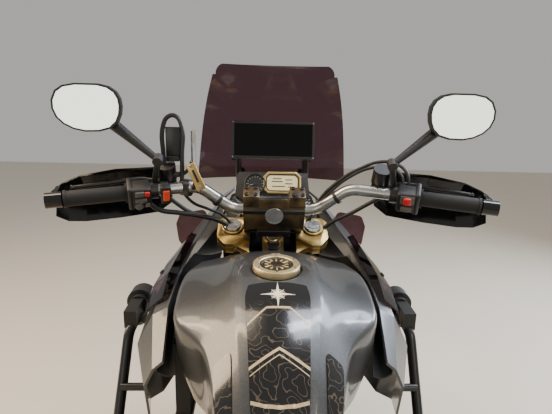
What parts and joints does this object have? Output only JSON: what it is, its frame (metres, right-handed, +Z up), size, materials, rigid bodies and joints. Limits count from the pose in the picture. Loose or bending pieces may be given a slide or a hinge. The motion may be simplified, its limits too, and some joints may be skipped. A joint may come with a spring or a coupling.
{
  "type": "adventure touring motorcycle",
  "caption": "Large adventure touring motorcycle with a tall screen, hand guards and crash bars, on its centre stand.",
  "frame": {"origin": "on the floor, under the middle of the bounding box", "axes": "+Y forward, +X to the rider's right, +Z up"},
  "size_m": [0.9814, 2.2497, 1.452],
  "materials": {
    "frame_paint": "satin black paint on tube steel",
    "engine_casting": "cast aluminium, dark grey coat",
    "plate_aluminium": "brushed, clear anodised",
    "exhaust_steel": "stainless, slightly heat tinted",
    "silencer_steel": "satin stainless",
    "black_plastic": "fine grained",
    "bar_paint": "black powder coat",
    "tank_paint": "metallic grey under clear coat",
    "pad_rubber": "glossy with printed pattern",
    "smoked_screen": "smoked clear sheet",
    "lamp_glass": "clear lens",
    "seat_cover": "black vinyl, stitched",
    "red_lens": "clear red",
    "amber_lens": "clear amber",
    "fork_tube": "black anodised tube",
    "gold_anodised": "gold tinted anodised",
    "grip_rubber": "ribbed",
    "gloss_guard": "glossy black",
    "mirror_face": "silvered glass",
    "tyre_rubber": "black tread rubber",
    "wheel_aluminium": "anodised rim, polished spokes",
    "disc_steel": "ground stainless",
    "cap_metal": "cream and gold tinted ring, black centre"
  },
  "bodies": {
    "chassis": {"main_frame": "frame_paint", "engine": "engine_casting", "engine_covers": "engine_casting", "skid_plate": "plate_aluminium", "exhaust_pipes": "exhaust_steel", "silencer": "silencer_steel", "radiator": "black_plastic", "crash_bars": "bar_paint", "fog_lamps": "black_plastic", "fuel_tank": "tank_paint", "filler_flange": "tank_paint", "tank_pads": "pad_rubber", "side_cowls": "tank_paint", "smoked_panels": "smoked_screen", "nose_cowl": "tank_paint", "headlamps": "lamp_glass", "windscreen": "smoked_screen", "dashboard": "black_plastic", "nav_display": "black_plastic", "rider_seat": "seat_cover", "pillion_seat": "seat_cover", "tail_cowl": "black_plastic", "rear_rack": "bar_paint", "rear_mudguard": "black_plastic", "tail_lamp": "red_lens", "indicators": "amber_lens", "swingarm": "frame_paint", "final_drive": "engine_casting", "rear_shock": "frame_paint", "rear_caliper": "bar_paint", "foot_pegs": "plate_aluminium", "pedals": "plate_aluminium"},
    "steering": {"fork_legs": "fork_tube", "yokes": "gold_anodised", "handlebar": "plate_aluminium", "grips": "grip_rubber", "bar_clamp": "bar_paint", "switch_pods": "black_plastic", "levers": "bar_paint", "hand_guards": "gloss_guard", "mirrors": "black_plastic", "mirror_glass": "mirror_face", "front_mudguard": "black_plastic", "front_calipers": "bar_paint"},
    "front_wheel": {"front_tyre": "tyre_rubber", "front_spoked_wheel": "wheel_aluminium", "front_discs": "disc_steel"},
    "rear_wheel": {"rear_tyre": "tyre_rubber", "rear_spoked_wheel": "wheel_aluminium", "rear_disc": "disc_steel"},
    "centre_stand": {"centre_stand": "bar_paint"},
    "side_stand": {"side_stand": "bar_paint"},
    "fuel_cap": {"fuel_cap": "cap_metal"}
  },
  "joints": [
    {"name": "steering_head", "type": "hinge", "parent": "chassis", "child": "steering", "pos_m": [0, 0.922, 0], "axis": [0, -0.4695, 0.8829], "range_deg": [-33, 33]},
    {"name": "front_wheel_spin", "type": "hinge", "parent": "steering", "child": "front_wheel", "pos_m": [0, 0.796, 0.329], "axis": [1, 0, 0], "continuous": true},
    {"name": "rear_wheel_spin", "type": "hinge", "parent": "chassis", "child": "rear_wheel", "pos_m": [0, -0.744, 0.346], "axis": [1, 0, 0], "continuous": true},
    {"name": "centre_stand_fold", "type": "hinge", "parent": "chassis", "child": "centre_stand", "pos_m": [0, -0.232, 0.292], "axis": [-1, 0, 0], "range_deg": [0, 80]},
    {"name": "side_stand_fold", "type": "hinge", "parent": "chassis", "child": "side_stand", "pos_m": [-0.182, 0.04, 0.212], "axis": [0.9135, 0, -0.4067], "range_deg": [0, 90]},
    {"name": "fuel_cap_lid", "type": "hinge", "parent": "chassis", "child": "fuel_cap", "pos_m": [0, 0.17383, 1.0614], "axis": [-1, 0, 0], "range_deg": [0, 95]}
  ]
}
